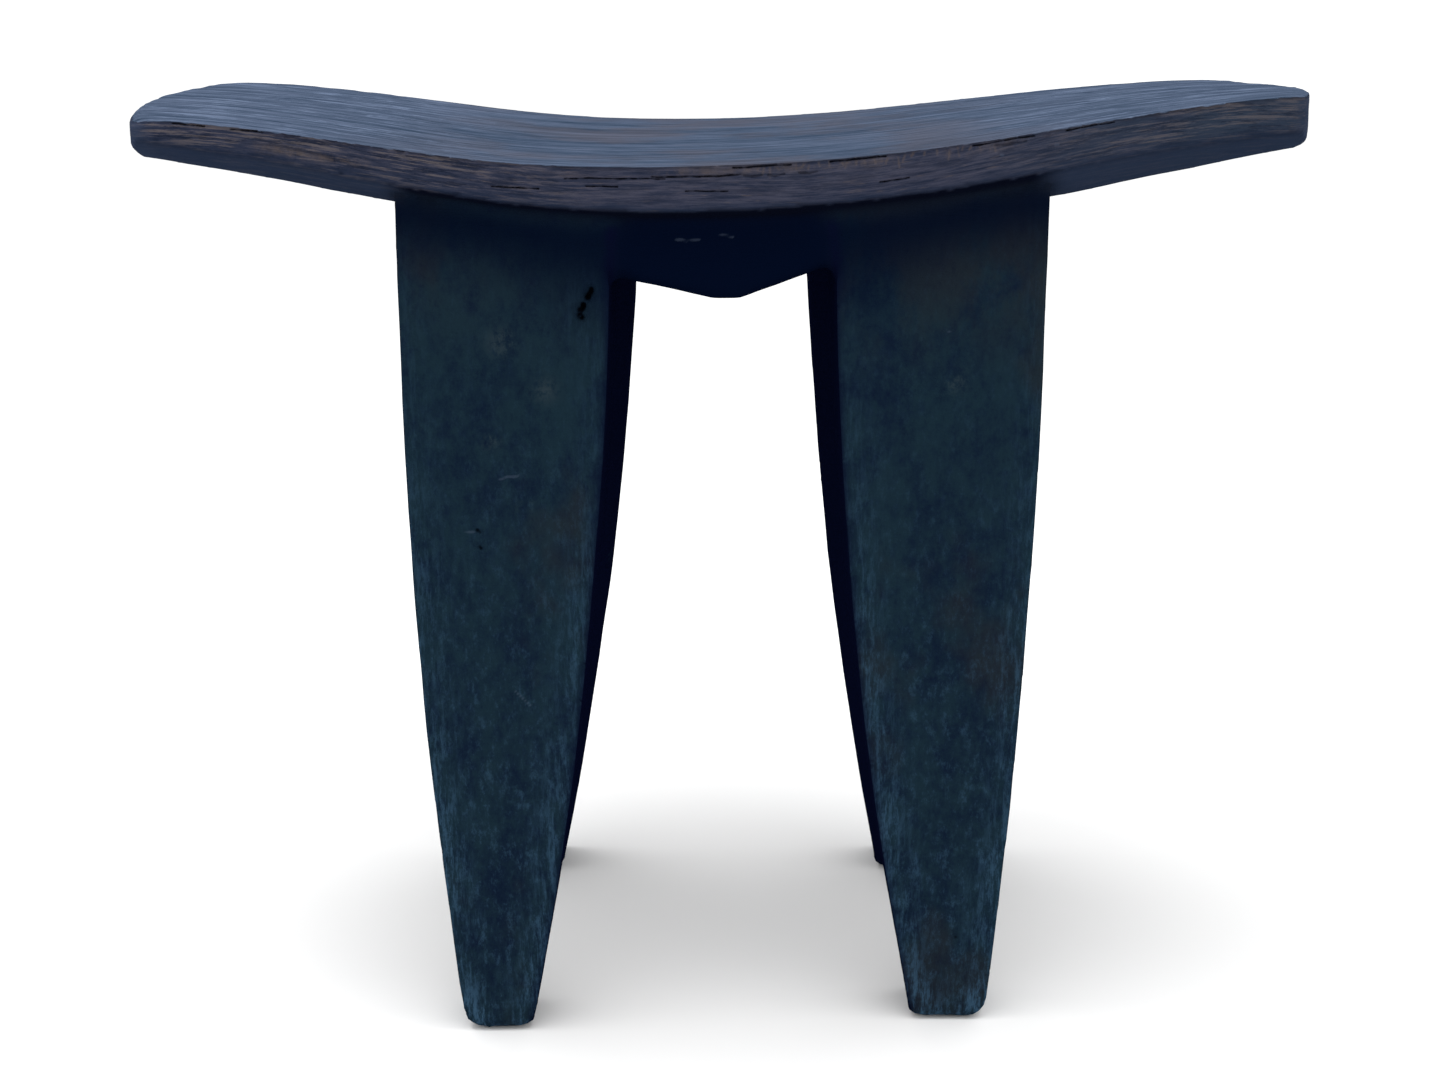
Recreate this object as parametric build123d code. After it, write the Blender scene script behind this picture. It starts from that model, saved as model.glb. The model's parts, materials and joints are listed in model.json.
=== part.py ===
from build123d import *
import os

# A low four-legged stool, also sold as a headrest, carved out of a single block of hardwood:
# a curved seat, a deep belly under it, and four legs that taper to small feet.
# The six regions of the block are built one by one and meet face to face where the grain runs
# on from one into the next.
#
# Millimetres. X runs along the seat, +X to the right; +Y points to the rear; +Z is up.
# The origin is on the floor, under the middle of the seat.

# ---- seat: the driving sizes
seat_length = 490.0       # over the bowed ends
seat_depth = 240.0        # front edge to rear edge
seat_height = 371.0       # floor to the lowest line of the seat's top
front_left = 224.0        # from the middle to the front left corner
front_right = 219.5       # from the middle to the front right corner
rear_length = 474.0       # between the two rear corners
bow_place = 30.0          # the bowed ends are widest this far behind the middle
front_corner = 6.0        # plan radius of the front corners
rear_corner_left = 26.0   # the rear corners are cut rounder
rear_corner_right = 14.0

# Heights at every sixth of the rough blank's length, left to right. It is hand work: the
# right-hand front corner stands a good 10 higher than the left-hand one.
blank_margin = 10.0       # the rough blank is this much longer than the seat at each end
front_rise = (17.5, 12.4, 1.2, 0.0, 7.0, 20.5, 26.5)        # front edge above the lowest line
rear_rise = (18.5, 12.3, 2.4, 0.0, 5.9, 14.8, 18.0)         # rear edge above the lowest line
edge_face = (8.5, 11.3, 15.5, 17.7, 16.5, 14.4, 13.0)       # upright face of the long edges
thickness = (13.0, 21.0, 24.5, 26.5, 28.0, 26.0, 14.0)      # full thickness behind the bevel
bevel_width = 24.0        # the underside slopes down over this width behind each long edge

# ---- legs: their sides, measured from the middle of the stool
leg_outer = 126.5         # outer side of every leg under the seat
leg_inner_front = 43.0    # side of a front leg that faces the gap between left and right
leg_inner_rear = 39.0     # the same on a rear leg
leg_back = 38.0           # side that faces the gap between the front and the rear legs
leg_setback = 10.0        # a leg's face stands this far in from the seat's long edge
shoulder_drop = 86.0      # the outer side is upright this far down, then curves in to the foot
inner_swell = 9.0         # the inner side swells this much beyond a straight line
back_swell = 5.0          # the same for the side that faces the other leg of its end
face_swell = 2.0          # and for the face
foot_depth = 33.0         # front to rear size of every foot
foot_round = 6.0          # rounding round the sole

# name: (x direction, y direction, inner side at the top, foot's inner side, foot's outer side,
#        setback of the foot's face from the seat's long edge)
legs = {
    "leg_front_left": (-1, -1, leg_inner_front, 81.0, 110.5, 17.0),
    "leg_front_right": (1, -1, leg_inner_front, 81.0, 114.0, 27.0),
    "leg_rear_left": (-1, 1, leg_inner_rear, 80.0, 110.0, 19.0),
    "leg_rear_right": (1, 1, leg_inner_rear, 77.0, 110.0, 18.0),
}

# ---- belly: the mass left under the seat, between the legs. Its depths are measured
# down from the lowest line of the seat's top.
belly_depth = 54.3        # at the keel
keel_left = -4.0          # the keel is a short flat, a little right of the middle
keel_right = 6.5
flank_place = 37.0        # the flanks bend here, beside the legs
flank_depth_left = 46.5   # depth at the left bend
flank_depth_right = 43.3  # and at the right bend
belly_reach = 122.0       # the flanks run out under the seat here
reach_depth = 21.5        # depth where they run out
belly_step = 1.0          # the belly's walls stand this far behind the faces of the legs
belly_lean = 4.0          # and lean in by this much on their way down
belly_round = 8.0         # rounding where a wall turns under
reach_setback = 25.0      # the walls stand this far in from the long edge at the reach

# ---- sizes that follow
half_length = seat_length / 2
half_depth = seat_depth / 2
leg_face = half_depth - leg_setback
belly_setback = leg_setback + belly_step
shoulder_height = seat_height - shoulder_drop
overrun = 10.0            # a rough solid stands out this much where it will be cut off


def seat_lines(y, heights):
    """Points along the top of the seat at depth y, and points that lie heights below them."""
    top = []
    under = []
    share = (y + half_depth) / seat_depth
    for number, (front, rear, height) in enumerate(zip(front_rise, rear_rise, heights)):
        place = 2 * number / (len(front_rise) - 1) - 1
        x = (half_length + blank_margin) * place
        z = seat_height + front + (rear - front) * share
        top.append(Vector(x, y, z))
        under.append(Vector(x, y, z - height))
    return top, under


def seat_section(y, heights):
    """Outline of the seat across its length: curved top, curved underside, upright ends."""
    top, under = seat_lines(y, heights)
    right_end = Line(top[-1], under[-1])
    left_end = Line(under[0], top[0])
    return Face(Wire([Spline(*top), right_end, Spline(*under), left_end]))


def above_section(y, heights):
    """The same outline with the top far above, so that it takes in all that the seat covers."""
    under = seat_lines(y, heights)[1]
    upper_left = Vector(under[0].X, y, seat_height + half_depth)
    upper_right = Vector(under[-1].X, y, seat_height + half_depth)
    roof = Polyline(under[-1], upper_right, upper_left, under[0])
    return Face(Wire([Spline(*under), *roof.edges()]))


def through_depth(section):
    """A solid through four sections: front face, front bevel, rear bevel, rear face."""
    inner = half_depth - bevel_width
    return loft(
        [
            section(-half_depth, edge_face),
            section(-inner, thickness),
            section(inner, thickness),
            section(half_depth, edge_face),
        ],
        ruled=True,
    )


def seat_plan():
    """The seat seen from above: straight long edges, bowed ends, rounded corners."""
    corner_front_left = (-front_left, -half_depth)
    corner_front_right = (front_right, -half_depth)
    corner_rear_left = (-rear_length / 2, half_depth)
    corner_rear_right = (rear_length / 2, half_depth)
    bow_left = (-half_length, bow_place)
    bow_right = (half_length, bow_place)
    outline = [
        Line(corner_front_left, corner_front_right),
        TangentArc(bow_right, corner_front_right, tangent=(0, -1)),
        TangentArc(bow_right, corner_rear_right, tangent=(0, 1)),
        Line(corner_rear_right, corner_rear_left),
        TangentArc(bow_left, corner_rear_left, tangent=(0, 1)),
        TangentArc(bow_left, corner_front_left, tangent=(0, -1)),
    ]
    plan = Face(Wire(outline))
    corners = plan.vertices().sort_by(Axis.Y)
    plan = fillet(corners[:2], front_corner)
    rear_corners = plan.vertices().group_by(Axis.Y)[-1].sort_by(Axis.X)
    plan = fillet(rear_corners[0], rear_corner_left)
    rear_corners = plan.vertices().group_by(Axis.Y)[-1].sort_by(Axis.X)
    return fillet(rear_corners[-1], rear_corner_right)


def make_seat():
    """The seat: the curved slab, cut to the plan."""
    plan_block = extrude(seat_plan(), amount=2 * seat_height)
    return through_depth(seat_section) & plan_block


def leg_front_outline(side, leg_inner, foot_inner, foot_outer):
    """A leg seen from the front, running up through the seat."""
    top = seat_height + overrun
    inner_middle = (leg_inner + foot_inner) / 2 - inner_swell
    inner_side = ThreePointArc(
        (side * leg_inner, 0, top),
        (side * inner_middle, 0, (top + foot_round) / 2),
        (side * foot_inner, 0, foot_round),
    )
    outer_curve = TangentArc(
        (side * leg_outer, 0, shoulder_height),
        (side * foot_outer, 0, foot_round),
        tangent=(0, 0, -1),
    )
    outer_side = Line((side * leg_outer, 0, shoulder_height), (side * leg_outer, 0, top))
    sole = sole_line((side * foot_inner, 0), (side * foot_outer, 0))
    roof = Line((side * leg_inner, 0, top), (side * leg_outer, 0, top))
    return Face(Wire([inner_side, *sole, outer_curve, outer_side, roof]))


def leg_side_outline(side, foot_setback):
    """A leg seen from the end of the stool, running up through the seat."""
    top = seat_height + overrun
    foot_face = half_depth - foot_setback
    foot_back = foot_face - foot_depth
    middle = (top + foot_round) / 2
    face_side = ThreePointArc(
        (0, side * leg_face, top),
        (0, side * ((leg_face + foot_face) / 2 + face_swell), middle),
        (0, side * foot_face, foot_round),
    )
    back_side = ThreePointArc(
        (0, side * leg_back, top),
        (0, side * ((leg_back + foot_back) / 2 - back_swell), middle),
        (0, side * foot_back, foot_round),
    )
    sole = sole_line((0, side * foot_back), (0, side * foot_face))
    roof = Line((0, side * leg_back, top), (0, side * leg_face, top))
    return Face(Wire([face_side, *sole, back_side, roof]))


def sole_line(start, end):
    """The flat sole between two sides of a foot, with a rounded corner at each side."""
    low_start = Vector(*start, 0)
    low_end = Vector(*end, 0)
    along = (low_end - low_start).normalized() * foot_round
    up = Vector(0, 0, foot_round)
    bulge = 1 - 0.5**0.5
    return [
        ThreePointArc(low_start + up, low_start + (along + up) * bulge, low_start + along),
        Line(low_start + along, low_end - along),
        ThreePointArc(low_end - along, low_end + (up - along) * bulge, low_end + up),
    ]


def make_leg_blank(x_side, y_side, leg_inner, foot_inner, foot_outer, foot_setback):
    """A leg before it is cut off under the seat: what its two outlines have in common."""
    front_outline = leg_front_outline(x_side, leg_inner, foot_inner, foot_outer)
    across = extrude(front_outline, half_depth, (0, y_side, 0))
    along = extrude(leg_side_outline(y_side, foot_setback), half_length, (x_side, 0, 0))
    return across & along


def belly_section(x, depth, setback):
    """The belly across the stool: two walls that turn under into a flat, from the level of the
    seat's lowest line downwards."""
    wall = half_depth - setback
    foot = wall - belly_lean
    low = seat_height - depth
    rounding = min(belly_round, 0.8 * depth)
    corners = ((x, -wall, seat_height), (x, -foot, low), (x, foot, low), (x, wall, seat_height))
    outline = FilletPolyline(*corners, radius=rounding)
    return Face(Wire([*outline.edges(), Line(corners[-1], corners[0])]))


def make_belly_blank():
    """The belly before the legs and the seat are cut out of it."""
    stations = (
        (-belly_reach, reach_depth, reach_setback),
        (-flank_place, flank_depth_left, belly_setback),
        (keel_left, belly_depth, belly_setback),
        (keel_right, belly_depth, belly_setback),
        (flank_place, flank_depth_right, belly_setback),
        (belly_reach, reach_depth, reach_setback),
    )
    return loft([belly_section(*station) for station in stations], ruled=True)


above_underside = through_depth(above_section)
leg_blanks = {name: make_leg_blank(*sizes) for name, sizes in legs.items()}

pieces = {"seat": make_seat()}
for name, blank in leg_blanks.items():
    pieces[name] = blank - above_underside
pieces["belly"] = make_belly_blank() - above_underside - list(leg_blanks.values())

os.makedirs("parts", exist_ok=True)
for name, piece in pieces.items():
    piece.label = name
    export_step(piece, f"parts/{name}.step")
    size = piece.bounding_box().size
    print(f"{name}: {piece.volume / 1000:.0f} cm3, {size.X:.1f} x {size.Y:.1f} x {size.Z:.1f} mm")
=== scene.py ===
# %% [markdown]
# A low carved stool, made the way its carver made it. The real thing is one block of
# hardwood: a saddle-curved seat, a deep belly under it and four tapering legs, all cut
# with an adze and a knife, then dyed black and left dry. Nothing is joined and nothing
# moves. The CAD model holds the true sizes. This lesson gives it a skin: tool marks,
# worn arrises, a cracked front edge and a dusty dyed finish.

# %% Load the fixed frame
import json
import math
import random

import bmesh
import bpy
import numpy as np
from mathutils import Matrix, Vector
from mathutils.bvhtree import BVHTree
from mathutils.kdtree import KDTree


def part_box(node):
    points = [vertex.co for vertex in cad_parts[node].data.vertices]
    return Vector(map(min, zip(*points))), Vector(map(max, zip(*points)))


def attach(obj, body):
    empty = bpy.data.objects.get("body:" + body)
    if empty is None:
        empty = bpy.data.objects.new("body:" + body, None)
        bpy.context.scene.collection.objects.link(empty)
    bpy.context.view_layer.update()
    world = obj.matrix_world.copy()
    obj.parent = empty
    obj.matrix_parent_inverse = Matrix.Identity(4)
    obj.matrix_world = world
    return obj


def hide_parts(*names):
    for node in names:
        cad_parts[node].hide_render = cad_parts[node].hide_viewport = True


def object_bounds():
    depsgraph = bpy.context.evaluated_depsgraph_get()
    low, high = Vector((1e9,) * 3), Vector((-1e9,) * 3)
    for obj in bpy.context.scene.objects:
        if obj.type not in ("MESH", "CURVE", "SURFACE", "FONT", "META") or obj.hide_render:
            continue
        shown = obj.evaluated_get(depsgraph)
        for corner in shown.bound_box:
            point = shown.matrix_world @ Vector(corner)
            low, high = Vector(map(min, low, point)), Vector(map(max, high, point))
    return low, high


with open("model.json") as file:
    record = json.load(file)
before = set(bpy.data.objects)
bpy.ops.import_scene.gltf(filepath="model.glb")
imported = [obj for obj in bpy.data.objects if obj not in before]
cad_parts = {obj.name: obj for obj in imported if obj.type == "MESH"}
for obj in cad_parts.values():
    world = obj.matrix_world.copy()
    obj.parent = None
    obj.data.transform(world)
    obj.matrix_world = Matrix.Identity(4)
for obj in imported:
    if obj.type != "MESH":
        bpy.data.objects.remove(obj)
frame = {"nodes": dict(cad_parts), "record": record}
cad_low, cad_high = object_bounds()
MM = 0.001
REGIONS = ("seat", "belly", "leg_front_left", "leg_front_right", "leg_rear_left", "leg_rear_right")
seat_low, seat_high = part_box("seat")

# %% [markdown]
# The camera comes first, so that every later choice can be judged through it. It stands
# about a metre in front of the stool, a little above the seat, and looks down at it by
# 15 degrees. A long lens keeps the legs straight.

# %% Camera
CAMERA_BACK = 966.5 * MM      # in front of the middle of the stool
CAMERA_HEIGHT = 450.5 * MM
CAMERA_PITCH = 15.04          # degrees, downwards
camera_data = bpy.data.cameras.new("camera")
camera_data.sensor_width = 36.0
camera_data.lens = 55.0
camera = bpy.data.objects.new("camera", camera_data)
camera.location = (0, -CAMERA_BACK, CAMERA_HEIGHT)
camera.rotation_euler = (math.radians(90 - CAMERA_PITCH), 0, 0)
bpy.context.scene.collection.objects.link(camera)
bpy.context.scene.camera = camera
print("camera", round(CAMERA_BACK, 3), "m in front,", CAMERA_PITCH, "degrees down")

# %% [markdown]
# Most of the work below is done on the mesh's points as one array, because moving two
# hundred thousand points one at a time is slow. These helpers read and write a mesh's
# points, and soften values over the surface by averaging each point with its neighbours.

# %% Helpers for points
def points_of(mesh):
    flat = np.empty(len(mesh.vertices) * 3, np.float32)
    mesh.vertices.foreach_get("co", flat)
    return flat.reshape(-1, 3).astype(float)


def set_points(mesh, points):
    mesh.vertices.foreach_set("co", points.astype(np.float32).ravel())
    mesh.update()


def normals_of(mesh):
    flat = np.empty(len(mesh.vertices) * 3, np.float32)
    mesh.vertices.foreach_get("normal", flat)
    return flat.reshape(-1, 3).astype(float)


def edges_of(mesh):
    flat = np.empty(len(mesh.edges) * 2, np.int32)
    mesh.edges.foreach_get("vertices", flat)
    return flat.reshape(-1, 2)


def neighbour_mean(values, edges):
    """The mean of every point's neighbours, for one value or three values a point."""
    count = len(values)
    start, end = edges.T
    degree = np.maximum(np.bincount(start, minlength=count) + np.bincount(end, minlength=count), 1)
    columns = values.reshape(count, -1)
    total = np.stack([
        np.bincount(start, columns[end, i], count) + np.bincount(end, columns[start, i], count)
        for i in range(columns.shape[1])
    ], axis=1)
    return (total / degree[:, None]).reshape(values.shape)


def soften(values, edges, rounds, weight=1.0):
    """Averages values over the surface; weight says how far each point may follow."""
    share = np.broadcast_to(weight, len(values))
    share = share[:, None] if values.ndim == 2 else share
    for _ in range(rounds):
        values = values + share * (neighbour_mean(values, edges) - values)
    return values


def ramp(values, low, high):
    """0 below low, 1 above high, and a smooth rise between."""
    t = np.clip((values - low) / (high - low), 0, 1)
    return t * t * (3 - 2 * t)


def store(mesh, name, values):
    attribute = mesh.attributes.get(name) or mesh.attributes.new(name, "FLOAT", "POINT")
    attribute.data.foreach_set("value", values.astype(np.float32))


def stored(mesh, name):
    values = np.empty(len(mesh.vertices), np.float32)
    mesh.attributes[name].data.foreach_get("value", values)
    return values.astype(float)

# %% [markdown]
# The block. The CAD model gives the stool as six regions that only touch. To carve them
# as one block they have to overlap a little, so the faces that meet a neighbour are
# pushed into it, and then a voxel remesh melts everything into a single closed skin
# with even faces. Even faces matter: tool marks need points to move wherever they fall.

# %% One skin from six regions
VOXEL = 2.0 * MM
BITE = 6.0 * MM               # how far a region is pushed into its neighbour


def region_copy(name):
    """A merged copy of a CAD region, pushed into the regions that it touches."""
    shape = bmesh.new()
    shape.from_mesh(frame["nodes"][name].data)
    bmesh.ops.remove_doubles(shape, verts=shape.verts, dist=0.01 * MM)
    shape.normal_update()
    if name != "seat":
        upper = {v for f in shape.faces if f.normal.z > 0.7 for v in f.verts}
        for vert in upper:
            vert.co.z += BITE
    if name == "belly":
        reach_x = max(abs(v.co.x) for v in shape.verts)
        reach_y = max(abs(v.co.y) for v in shape.verts)
        pushes = {}
        for face in shape.faces:
            middle = face.calc_center_median()
            at_end = abs(middle.x) > reach_x - 1 * MM
            on_wall = abs(middle.y) > reach_y - 10 * MM and abs(face.normal.y) > 0.7
            if abs(face.normal.z) < 0.4 and not at_end and not on_wall:
                for vert in face.verts:
                    pushes.setdefault(vert, Vector()).xy += face.normal.xy.normalized()
        for vert, push in pushes.items():
            vert.co.xy += push.xy.normalized() * BITE
    mesh = bpy.data.meshes.new(name + "_rough")
    shape.to_mesh(mesh)
    shape.free()
    return mesh


def plain_result(piece):
    """Turns a piece and its modifiers into a plain mesh."""
    graph = bpy.context.evaluated_depsgraph_get()
    mesh = bpy.data.meshes.new_from_object(
        piece.evaluated_get(graph), preserve_all_data_layers=True, depsgraph=graph)
    piece.modifiers.clear()
    piece.data = mesh
    return mesh


block_shape = bmesh.new()
for region in REGIONS:
    block_shape.from_mesh(region_copy(region))
block_mesh = bpy.data.meshes.new("block")
block_shape.to_mesh(block_mesh)
block_shape.free()
block = bpy.data.objects.new("block", block_mesh)
bpy.context.scene.collection.objects.link(block)
melt = block.modifiers.new("melt", "REMESH")
melt.mode = "VOXEL"
melt.voxel_size = VOXEL
plain_result(block)


def drop_loose_shells(mesh):
    """Keeps the largest connected shell, in case a pocket formed inside the block."""
    label = np.arange(len(mesh.vertices))
    start, end = edges_of(mesh).T
    while True:
        low = np.minimum(label[start], label[end])
        before = label.copy()
        np.minimum.at(label, start, low)
        np.minimum.at(label, end, low)
        label = label[label]
        if (label == before).all():
            break
    names, sizes = np.unique(label, return_counts=True)
    if len(names) > 1:
        keep = label == names[sizes.argmax()]
        shape = bmesh.new()
        shape.from_mesh(mesh)
        shape.verts.ensure_lookup_table()
        bmesh.ops.delete(shape, geom=[v for v in shape.verts if not keep[v.index]], context="VERTS")
        shape.to_mesh(mesh)
        shape.free()
    return len(names)


shells = drop_loose_shells(block.data)
print("block:", len(block.data.vertices), "points,", shells, "shell(s)")

# %% [markdown]
# The remesh rounds every arris by about one voxel, and this stool's arrises are crisp: the
# carver finished each face with long flat cuts that meet in a line. So every point goes
# back onto the CAD surface, and a point that is close to one of its sharp edges moves
# onto that edge. The same search tells which region each point belongs to.

# %% Points pulled back onto the arrises
ARRIS_ANGLE = math.radians(35)
PULL = 0.62 * VOXEL           # how far a point may move to reach an arris
ROOM = 0.4 * VOXEL            # no two points may land closer than about this

region_points, region_faces, face_region = [], [], []
for number, name in enumerate(REGIONS):
    mesh = frame["nodes"][name].data
    first = len(region_points)
    region_points.extend(v.co[:] for v in mesh.vertices)
    region_faces.extend([first + i for i in p.vertices] for p in mesh.polygons)
    face_region.extend([number] * len(mesh.polygons))
region_tree = BVHTree.FromPolygons(region_points, region_faces)


def nearest_on_regions(points):
    """The nearest place on the CAD surface to each point, and the number of its region."""
    found = [region_tree.find_nearest(p) for p in points]
    return np.array([f[0][:] for f in found]), np.array([face_region[f[2]] for f in found])


def places_tree(places):
    tree = KDTree(len(places))
    for number, place in enumerate(places):
        tree.insert(place, number)
    tree.balance()
    return tree


def arris_places(spacing):
    """Places along every edge where two faces of a region meet at an angle."""
    places = []
    for name in REGIONS:
        shape = bmesh.new()
        shape.from_mesh(frame["nodes"][name].data)
        bmesh.ops.remove_doubles(shape, verts=shape.verts, dist=0.01 * MM)
        for edge in shape.edges:
            if len(edge.link_faces) == 2 and edge.calc_face_angle() > ARRIS_ANGLE:
                start, end = (v.co for v in edge.verts)
                steps = max(1, round((end - start).length / spacing))
                places.extend(start.lerp(end, i / steps) for i in range(steps + 1))
        shape.free()
    return places


points = nearest_on_regions(points_of(block.data))[0]
arrises = places_tree(arris_places(0.4 * MM))
finds = [arrises.find(p) for p in points]
taken = set()
for number in np.argsort([distance for place, _, distance in finds]):
    place, _, distance = finds[number]
    if distance > PULL:
        break
    cell = tuple(round(v / ROOM) for v in place)
    if cell not in taken:
        taken.add(cell)
        points[number] = place
set_points(block.data, points)
print("points pulled onto arrises:", len(taken))

# %% [markdown]
# The answers become masks, one for each kind of surface on the real stool: the sat-on
# top, the upright rim, the underside, the belly and the legs. Both the carving and the
# finish read them. Two more masks hold painted shade: one on the faces that turn inwards,
# such as the inner sides of the legs, and one for the shade just under the seat. The
# finish paints both darker.
# The shade follows the seat's curve, so it is measured down from the highest point of
# the front legs at a row of stations, and it reaches lowest beside the belly.

# %% Masks for the kinds of surface
STATION_STEP = 5 * MM
LEGS_REACH = 130 * MM         # the stations run this far to both sides of the middle
SHADE_STARTS = 7 * MM         # below the seat, where the full shade starts to fade
SHADE_ENDS = 36 * MM          # and where it ends, far from the belly
BELLY_SHADE = 28 * MM         # it ends this much lower beside the belly

skin = block.data
edges = edges_of(skin)
points = points_of(skin)
region = nearest_on_regions(points)[1]
normals = normals_of(skin)
tilt = normals[:, 2]
in_seat = (region == REGIONS.index("seat")).astype(float)
is_belly = (region == REGIONS.index("belly")).astype(float)
is_leg = 1 - in_seat - is_belly
top_side = in_seat * ramp(tilt, 0.45, 0.95)
under_side = in_seat * ramp(-tilt, 0.35, 0.75)
outward = normals[:, :2] * np.sign(points[:, :2])


def drop_below_seat(points, on_front_leg):
    """How far each point is below the top of the front leg at its station."""
    steps = round(LEGS_REACH / STATION_STEP)
    stations, tops = [], []
    for x in np.arange(-steps, steps + 1) * STATION_STEP:
        beside = on_front_leg & (abs(points[:, 0] - x) < STATION_STEP + 1 * MM)
        if beside.any():
            stations.append(x)
            tops.append(points[beside, 2].max())
    return np.interp(points[:, 0], stations, tops) - points[:, 2]


drop = drop_below_seat(points, (is_leg > 0) & (points[:, 1] < 0))
near_belly = 1 - ramp(abs(points[:, 0]), 45 * MM, 95 * MM)
# painted shade: the legs are painted darker down to this drop below the seat
shade = 1 - ramp(drop, SHADE_STARTS, SHADE_ENDS + BELLY_SHADE * near_belly)
MASKS = {
    "on_top": top_side,
    "on_rim": in_seat * (1 - top_side) * (1 - under_side),
    "on_under": soften(under_side, edges, 5),
    "on_belly": soften(is_belly, edges, 8),
    "on_legs": soften(is_leg, edges, 8),
    # painted shade: faces that turn inwards, on the legs and the belly, are painted darker
    "sheltered": soften(ramp(-outward.min(1), 0.2, 0.7) * (1 - in_seat), edges, 1),
    # painted shade just under the seat, on the tops of the legs and on the belly
    "in_shade": soften(np.maximum(shade * is_leg, is_belly), edges, 8),
    # where the rim turns under; the finish paints its lower margin darker as painted shade
    "low_rim": soften(under_side, edges, 10) * in_seat,
}
for name, mask in MASKS.items():
    store(skin, name, mask)
    print(name, int((mask > 0.5).sum()), "points")

# %% [markdown]
# An adze can't cut a sharp inside corner, so where the belly grows out of the legs the
# wood runs round in a soft cove. The mean of a point's neighbours lies outside the
# surface in a hollow and inside it on a ridge, and that one test finds the corners. The
# belly and the front faces of the legs were then shaved in one sweep, so above the
# belly's lower line their step is smoothed away. On the outer side of a leg the knife
# could reach the corner, and it stays crisp. Most outside arrises are only worn. Those
# round the soles and under the rim are softer, and hands have rounded the ends of the
# seat, the left end most.

# %% Coves and worn arrises
COVE_ROUNDS = 8
SWEEP_ROUNDS = 40
ARRIS_ROUNDS = 2
HANDLED_ROUNDS = 12           # the ends, where hands lift the stool
LEFT_HANDLED = 0.9            # how far the left end's points follow each round
RIGHT_HANDLED = 0.15
SOLE_ROUNDS = 7               # the arris round each sole
LOWER_ROUNDS = 8              # the lower arris of the rim


def bend_of(mesh):
    """How hollow (above 0) or ridged (below 0) the skin is at each point, in voxels."""
    now = points_of(mesh)
    away = neighbour_mean(now, edges_of(mesh)) - now
    return (away * normals_of(mesh)).sum(1) / VOXEL


def waves(points, size, seed):
    """A slow random swell from -1 to 1, made of a few sine waves with seeded directions."""
    chance = np.random.default_rng(seed)
    total = np.zeros(len(points))
    for _ in range(7):
        direction = chance.normal(size=3)
        direction *= 2 * math.pi / (size * chance.uniform(0.7, 1.6) * np.linalg.norm(direction))
        total += np.sin(points @ direction + chance.uniform(0, 2 * math.pi))
    return total / 4


belly_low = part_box("belly")[0]
leg_low, leg_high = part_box("leg_front_right")
from_middle = abs(points[:, 0])
bend = bend_of(skin)
hollow = soften(ramp(bend, 0.03, 0.10), edges, 5)
inner_side = 1 - ramp(from_middle, leg_high.x - 40 * MM, leg_high.x - 15 * MM)
cove = np.clip(hollow * 3, 0, 1) * inner_side
points = soften(points, edges, COVE_ROUNDS, cove * 0.9)

flank_foot = belly_low.z + 14 * MM      # just above the belly's lower line at a leg
beside_leg = (ramp(from_middle, leg_low.x - 12 * MM, leg_low.x - 2 * MM)
              * (1 - ramp(from_middle, leg_low.x + 22 * MM, leg_low.x + 45 * MM)))
high_up = ramp(points[:, 2], flank_foot, flank_foot + 7 * MM)
outside = ramp(abs(points[:, 1]), 0.55 * seat_high.y, 0.7 * seat_high.y)
swept = soften((1 - in_seat) * beside_leg * high_up * outside, edges, 4)
points = soften(points, edges, SWEEP_ROUNDS, swept)
ridged = ramp(-bend, 0.05, 0.15)
worn = ridged * np.clip(0.22 + 0.25 * waves(points, 45 * MM, 3), 0, 0.6)
points = soften(points, edges, ARRIS_ROUNDS, soften(worn, edges, 1))
near_end = ramp(from_middle, seat_high.x - 34 * MM, seat_high.x - 24 * MM)
handled = soften(in_seat * ridged * near_end, edges, 2)
follow = np.where(points[:, 0] < 0, LEFT_HANDLED, RIGHT_HANDLED)
points = soften(points, edges, HANDLED_ROUNDS, np.clip(2 * handled, 0, 1) * follow)
at_sole = soften(ridged * is_leg * (1 - ramp(points[:, 2], 3 * MM, 9 * MM)), edges, 1)
points = soften(points, edges, SOLE_ROUNDS, np.clip(2 * at_sole, 0, 0.9))
lower_edge = soften(under_side * (1 - under_side) * 4 * in_seat, edges, 2)
points = soften(points, edges, LOWER_ROUNDS, np.clip(lower_edge, 0, 0.8))
set_points(skin, points)
print("coves hold", int((cove > 0.5).sum()), "points, the sweep", int((swept > 0.5).sum()))
print("handled ends", int((handled > 0.1).sum()), "points, soles", int((at_sole > 0.1).sum()))

# %% [markdown]
# Knife and adze marks. Every cut leaves a shallow scoop, and the scoops meet in low
# ridges. A Voronoi pattern has just that form: its distance is least in the middle of a
# cell and greatest at the borders. The tree below moves each point along its normal by
# the square of that distance. It is used once for each kind of surface with its own
# stroke size, because the top was scraped smooth and long while the underside was left
# as the adze cut it.

# %% A node tree for tool strokes
def new_tree(name, inputs):
    """An empty Geometry Nodes tree with named inputs. Each input is (name, kind, value)."""
    tree = bpy.data.node_groups.new(name, "GeometryNodeTree")
    tree.interface.new_socket("Geometry", in_out="INPUT", socket_type="NodeSocketGeometry")
    tree.interface.new_socket("Geometry", in_out="OUTPUT", socket_type="NodeSocketGeometry")
    for label, kind, value in inputs:
        socket = tree.interface.new_socket(label, in_out="INPUT", socket_type="NodeSocket" + kind)
        if value is not None:
            socket.default_value = value
    return tree, tree.nodes.new("NodeGroupInput"), tree.nodes.new("NodeGroupOutput")


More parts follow.
